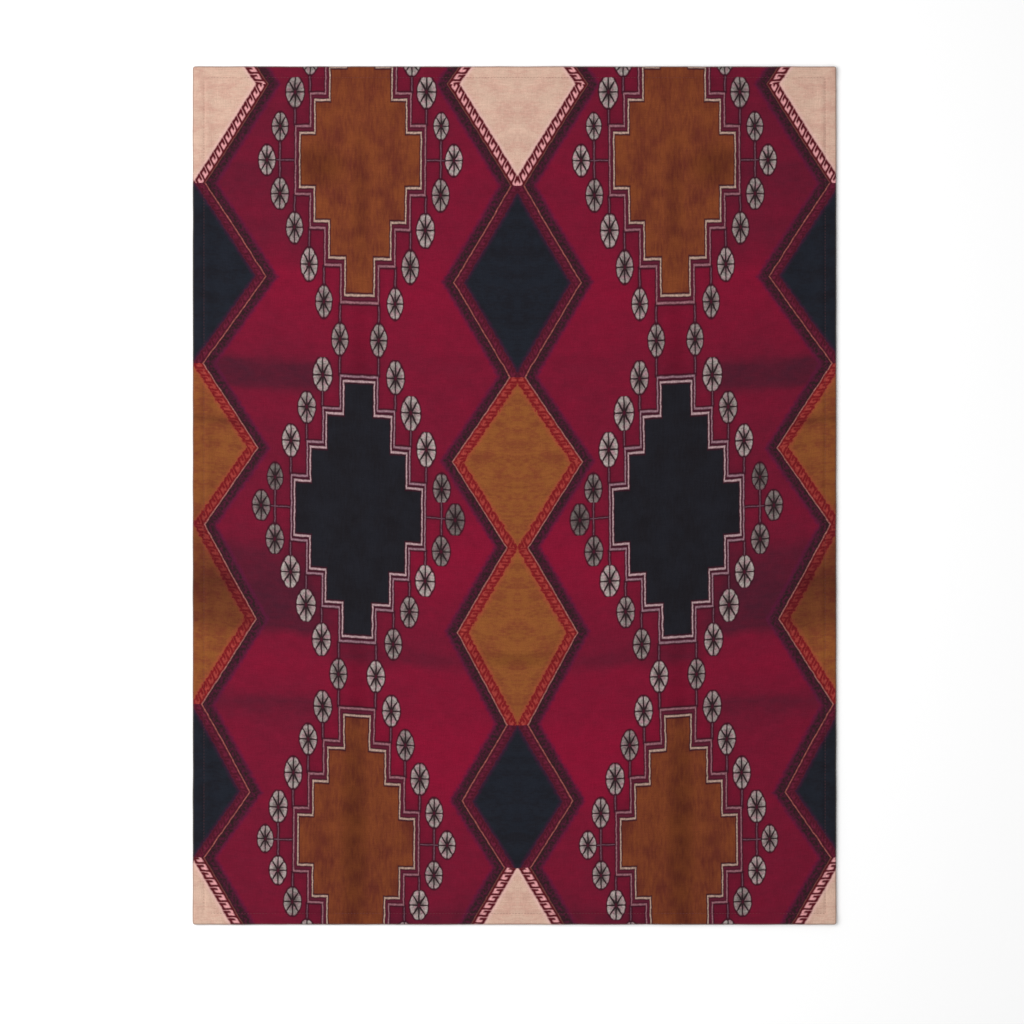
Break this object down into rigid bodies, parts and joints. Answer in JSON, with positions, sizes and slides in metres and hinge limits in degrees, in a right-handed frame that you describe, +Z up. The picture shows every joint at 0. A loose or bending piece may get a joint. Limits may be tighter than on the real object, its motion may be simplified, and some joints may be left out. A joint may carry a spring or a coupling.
{
  "type": "throw blanket",
  "caption": "Rectangular printed fleece throw blanket with a turned and stitched hem, laid out flat.",
  "frame": {"origin": "on the floor, under the middle of the blanket as it lies flat", "axes": "+Z up from the floor through the printed face, +Y along the blanket towards the top of the print, +X to the right of the print"},
  "size_m": [0.762, 1.016, 0.005],
  "materials": {
    "printed_fleece": "matt short-pile fleece, printed in crimson, rust, ochre, navy and cream",
    "sewing_thread": "spun polyester thread, slight sheen"
  },
  "bodies": {
    "root": {"blanket": "printed_fleece"}
  },
  "joints": []
}
